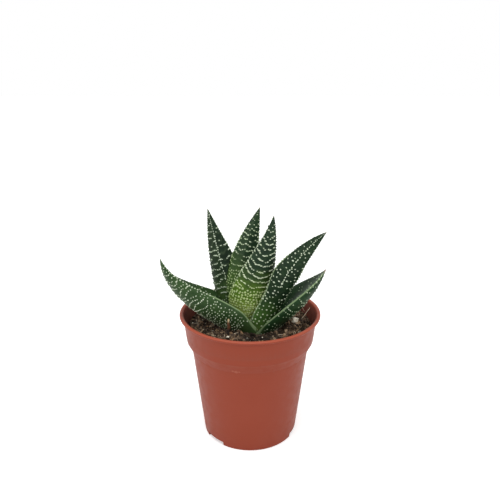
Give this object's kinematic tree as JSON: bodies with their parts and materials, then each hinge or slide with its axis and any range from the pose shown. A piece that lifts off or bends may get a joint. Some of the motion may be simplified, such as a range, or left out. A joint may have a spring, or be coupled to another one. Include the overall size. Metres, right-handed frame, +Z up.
{
  "type": "potted gasterhaworthia",
  "caption": "Small rosette succulent with thick pointed keeled leaves covered in raised pale tubercles, growing in peat in a tapered round plastic nursery pot with a collar.",
  "frame": {"origin": "centre of the pot's flat base pad, on the surface that the pot stands on", "axes": "+Z up along the pot's axis; -Y towards the viewer of the picture; +X to the picture's right"},
  "size_m": [0.0609, 0.055, 0.0921],
  "materials": {
    "pot_plastic": "satin terracotta-coloured moulded polypropylene",
    "leaf": "waxy dark green skin with pale pearly tubercles",
    "peat": "rough, dark, moist and crumbly",
    "stem_tissue": "matt pale brown-green"
  },
  "bodies": {
    "root": {"pot": "pot_plastic", "soil": "peat", "stem": "stem_tissue", "leaf_bud": "leaf", "leaf_centre": "leaf", "leaf_front": "leaf", "leaf_back": "leaf", "leaf_left_upper": "leaf", "leaf_right_upper": "leaf", "leaf_back_right": "leaf", "leaf_back_left": "leaf", "leaf_left_lower": "leaf", "leaf_right_lower": "leaf"}
  },
  "joints": []
}
